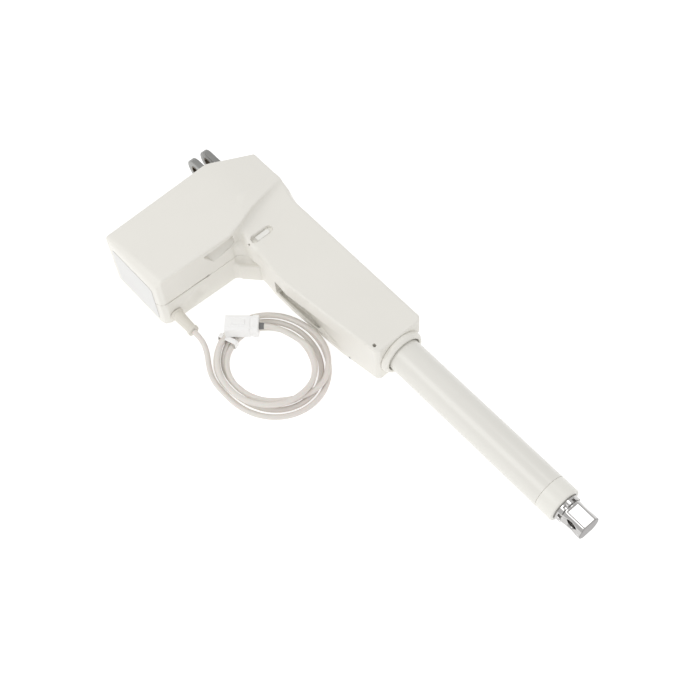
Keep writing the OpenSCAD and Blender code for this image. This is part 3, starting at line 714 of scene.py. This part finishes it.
def eye_form(p):
    """The rod's eye: a round bar with two flats, a cross hole with wide mouths, and a spigot."""
    eye_x, bore_r, head_x, head_r, half_flats, spigot_r = 480.0, 5.1, 470.65, EYE_HIGH[1], 9.2, 9.75
    head = meet(from_axis(p) - head_r, p[0] - EYE_HIGH[0], 0.9)
    head = meet(head, head_x - p[0], 0.6)
    flats = join(np.abs(p[2]) - half_flats, p[0] - head_x - 2.0, 0.0)
    head = meet(head, flats, 0.5)
    spigot = np.maximum(from_axis(p) - spigot_r, np.maximum(EYE_LOW[0] - p[0], p[0] - head_x - 2.0))
    across = np.hypot(p[0] - eye_x, p[2])
    mouth = (across - bore_r - 1.15 * np.maximum(np.abs(p[1]) - 7.2, 0.0)) * 0.66
    hole = np.minimum(across - bore_r, mouth)
    return cut(np.minimum(head, spigot), hole, 0.6)


def ring_form(p):
    """The ring between rod and eye, with square notches round its outer edge."""
    middle_x, half_width, outer_r, inner_r, notches = 468.28, 2.28, 12.3, 9.85, 8
    form = meet(from_axis(p) - outer_r, np.abs(p[0] - middle_x) - half_width, 0.4)
    form = cut(form, from_axis(p) - inner_r, 0.2)
    pitch = 2.0 * math.pi / notches
    turn = np.arctan2(p[2], p[1])
    notch = np.abs((turn / pitch) % 1.0 - 0.5) * pitch * 11.0 - 1.5
    notch = np.maximum(notch, np.maximum(9.9 - from_axis(p), 468.1 - p[0]))
    return cut(form, notch, 0.2)


def fork_form(p):
    """The rear fork: two round-ended ears, a neck and the bearing's cup."""
    ear_r, half_ears, half_slot, bush_r = 12.5, 10.3, 4.25, 6.42
    neck_r, cup_r, cup_inner_r, cup_bore_r = 9.0, 15.0, 13.03, 10.0
    ears = np.hypot(np.minimum(p[0], 0.0), p[2]) - ear_r
    ears = meet(np.maximum(ears, p[0] - 25.0), np.abs(p[1]) - half_ears, 1.0)
    neck = meet(from_axis(p) - neck_r, np.maximum(20.0 - p[0], p[0] - 43.0), 0.3)
    cup = meet(from_axis(p) - cup_r, np.maximum(42.0 - p[0], p[0] - 54.0), 0.4)
    form = np.minimum(join(ears, neck, 2.0), cup)
    slot = meet(np.abs(p[1]) - half_slot, p[0] - 13.0, 1.5)
    form = cut(form, slot, 0.8)
    form = cut(form, np.hypot(p[0], p[2]) - bush_r, 0.5)
    form = cut(form, np.maximum(from_axis(p) - cup_inner_r, 46.0 - p[0]), 0.2)
    return cut(form, np.maximum(from_axis(p) - cup_bore_r, 44.0 - p[0]), 0.2)


# ---- Cord ----

CORD_D = 5.0
LEAD = [(127, -114, -16), (131, -114, -16.2), (135, -114, -16.8), (139, -114.3, -17.8), (143, -115.2, -19.1),
        (147, -116.8, -20.6), (151, -118.9, -21.9), (155, -121.4, -22.9), (160, -124.4, -23.4),
        (166, -127.4, -23.5), (173, -129.8, -23.5), (180, -130.9, -23.5)]
TAIL = [(167.5, -66.9, -10.4), (171, -63.3, -10.6), (175, -60.2, -11.2), (180, -57.4, -12.1),
        (186, -55, -13), (193, -53, -13.7), (200, -51.2, -14.1), (207, -49.3, -14.2)]
# the coil is an ellipse: its middle, and how much longer it is along X than its radius says
COIL_AT = (195.5, -83.0)
COIL_STRETCH = 4.5
# the winding starts at this angle, in degrees, and goes on for this many turns
COIL_START, COIL_END = 259.0, 4.47
TURN_POINTS = 26
# where along the winding, in turns, the strand takes which radius and height
LANES = [(0.0, 48.0, -23.5), (0.30, 50.2, -23.5), (0.52, 47.6, -23.5), (0.75, 49.6, -23.5),
         (0.92, 47.0, -23.5), (1.06, 41.4, -23.5), (1.30, 43.6, -23.5), (1.52, 41.0, -23.5),
         (1.76, 42.4, -23.5), (1.90, 40.6, -23.5), (2.06, 35.0, -23.5), (2.30, 37.2, -23.5),
         (2.52, 34.6, -23.5), (2.80, 36.2, -23.5), (3.00, 37.6, -18.8), (3.11, 36.4, -18.4),
         (3.21, 36.0, -18.4), (3.28, 40.6, -18.4), (3.35, 47.6, -18.4), (3.45, 49.2, -18.4),
         (3.60, 46.0, -18.4), (3.78, 45.4, -18.4), (3.92, 45.0, -18.2), (4.05, 44.4, -14.6),
         (4.16, 43.0, -13.4), (4.30, 40.0, -13.4), (4.47, 35.6, -14.1)]


def ease(a, b, t):
    """From a to b as t goes from 0 to 1, starting and ending gently."""
    return a + (b - a) * (0.5 - 0.5 * math.cos(math.pi * t))


def coil_point(turns):
    """A point of the winding after so many turns from its start."""
    k = max(i for i in range(len(LANES) - 1) if LANES[i][0] <= turns or i == 0)
    (t0, r0, z0), (t1, r1, z1) = LANES[k], LANES[k + 1]
    t = min(1.0, max(0.0, (turns - t0) / (t1 - t0)))
    angle = math.radians(COIL_START + 360.0 * turns)
    radius = ease(r0, r1, t)
    x = COIL_AT[0] + (radius + COIL_STRETCH) * math.cos(angle)
    y = COIL_AT[1] + radius * math.sin(angle)
    return x, y, ease(z0, z1, t)


def cord_route():
    """The cord's centre line from the strain relief, round the coil, to the connector."""
    count = int(COIL_END * TURN_POINTS)
    winding = [coil_point(COIL_END * i / count) for i in range(1, count)]
    return LEAD + winding + TAIL[::-1]


def make_cord(finishes):
    curve = bpy.data.curves.new("cord", "CURVE")
    curve.dimensions = "3D"
    curve.bevel_depth = CORD_D / 2.0 * MM
    curve.bevel_resolution = 5
    curve.resolution_u = 5
    curve.use_fill_caps = True
    route = cord_route()
    spline = curve.splines.new("NURBS")
    spline.points.add(len(route) - 1)
    for point, place in zip(spline.points, route):
        point.co = (*(c * MM for c in place), 1.0)
    spline.order_u = 4
    spline.use_endpoint_u = True
    cord = bpy.data.objects.new("cord", curve)
    bpy.context.collection.objects.link(cord)
    curve.materials.append(finishes["cord_jacket"])
    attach(cord, "housing")
    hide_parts("cord_lead", "cord_coil", "cord_tail")
    tuple(c * MM for c in LEAD[0])


PLUG_AT = (154.5, -80.8, -10.39)
PLUG_TURN = math.radians(47.0)


def plug_form(p):
    """The connector, lying along +X before it is turned into place."""
    half_length, half_width, half_height, waist_depth, root_z = 15.0, 8.0, 6.2, 0.7, 4.0
    body = meet(np.abs(p[1]) - half_width, np.abs(p[2]) - half_height, 0.9)
    body = meet(np.abs(p[0]) - half_length, body, 0.7)
    core = meet(np.abs(p[1]) - half_width + waist_depth, np.abs(p[2]) - half_height + waist_depth, 0.5)
    form = cut(body, meet(np.abs(p[0] - 8.5) - 1.2, -core, 0.0), 0.3)
    latch_x, latch_top = p[0] + 3.0, 7.4
    latch = meet(np.abs(latch_x) - 6.0, p[2] - latch_top + 0.1 * latch_x, 0.4)
    latch = meet(np.abs(p[1]) - 2.5, latch, 0.4)
    form = join(form, np.maximum(latch, root_z - p[2]), 0.3)
    for side in (-1, 1):
        rib = meet(np.abs(p[1] - side * 5.3) - 0.6, meet(np.abs(p[0]) - 13.0, p[2] - 6.6, 0.2), 0.2)
        form = join(form, np.maximum(rib, root_z - p[2]), 0.2)
    for y in (-4.6, 0.0, 4.6):
        for z in (-2.5, 2.5):
            cell = meet(np.abs(p[1] - y) - 1.6, np.abs(p[2] - z) - 1.6, 0.2)
            form = cut(form, np.maximum(cell, p[0] + half_length - 8.0), 0.2)
    return form


def into_place(points):
    """Points of the connector turned and moved to where it lies."""
    x, y, z = np.array(points, float).T
    c, s = math.cos(PLUG_TURN), math.sin(PLUG_TURN)
    return (np.stack([x * c - y * s, x * s + y * c, z], axis=1) + np.array(PLUG_AT)).tolist()


def make_plug(finishes):
    """The moulded connector and the short grey gland where the cord enters it."""
    points, quads = mesh_of(plug_form, (-15, -8, -6.2), (19.6, 8, 7.5), 0.4 if FINE else 0.7)
    body = add_piece("connector", into_place(points), quads.tolist(), finishes["plug_white"], "plug_white",
                     "housing", ["cord_plug"])
    gland = rounded([(14.4, 2.0), (14.4, 3.1), (16.6, 3.1), (19.4, 2.8), (19.4, 2.0)], [0, 0, 0.4, 0.5, 0])
    verts, faces = lathe(gland, (0, 0, 0), 40)
    neck = add_piece("connector_neck", into_place(verts), faces, finishes["grey_plastic"], "grey_plastic",
                     "housing", ["cord_plug"])
    return [body, neck]


def make_tie(finishes):
    """A soft band round the bundle of turns, beside the connector."""
    angle, bundle_r = math.radians(199.0), 41.3
    half_bundle, half_height, half_width, thick = 9.4, 4.8, 2.4, 0.9
    out = np.array((math.cos(angle), math.sin(angle)))
    along = np.array((-math.sin(angle), math.cos(angle)))
    centre = np.array(COIL_AT) + np.array((COIL_STRETCH, 0.0)) * math.cos(angle)

    def band(p):
        radial = (p[0] - centre[0]) * out[0] + (p[1] - centre[1]) * out[1]
        aside = (p[0] - centre[0]) * along[0] + (p[1] - centre[1]) * along[1]
        upright = np.abs(p[2] - FLOOR_Z - half_height) - half_height
        ring = meet(np.abs(radial - bundle_r) - half_bundle, upright, 2.2)
        return meet(np.maximum(ring, -(ring + thick)), np.abs(aside) - half_width, 0.3)

    at = centre + out * bundle_r
    low, high = (at[0] - 13, at[1] - 10, FLOOR_Z), (at[0] + 13, at[1] + 10, FLOOR_Z + 10.0)
    return field_piece("cord_band", band, low, high, 0.4, finishes["plug_white"], "plug_white", "housing")


def make_relief(finishes):
    """The tapered strain relief, a soft sleeve with a collar at its tip."""
    bore, neck_r, flange_r, collar_r, tip = 2.52, 4.0, 6.5, 5.4, 25.4
    profile = [(-4.5, bore), (-4.5, 6.0), (-3.0, 6.0), (-3.0, neck_r), (0.0, neck_r), (0.0, flange_r),
               (1.8, flange_r), (2.8, collar_r), (tip - 3.6, 4.6), (tip - 3.0, collar_r),
               (tip - 0.1, collar_r), (tip, bore)]
    profile = rounded(profile, [0, 0.3, 0.3, 0, 0, 0.5, 0.8, 0.6, 0.5, 0.6, 0.9, 0])
    add_piece("cord_sleeve", *lathe(profile, RELIEF, 72), finishes["soft_white"], "soft_white",
                     "housing", ["strain_relief"])


# ---- The scene ----

def main():
    make_camera()
    finishes = make_materials()
    plug = make_plug(finishes)
    tie = make_tie(finishes)
    make_cord(finishes)
    dress_nodes(finishes)
    make_relief(finishes)
    make_shells(finishes)
    make_collar(finishes)
    make_plate(finishes)
    make_slot_insert(finishes)
    make_end_cap(finishes)
    make_eye(finishes)
    make_fork(finishes)
    make_studio()
    make_floor()


main()
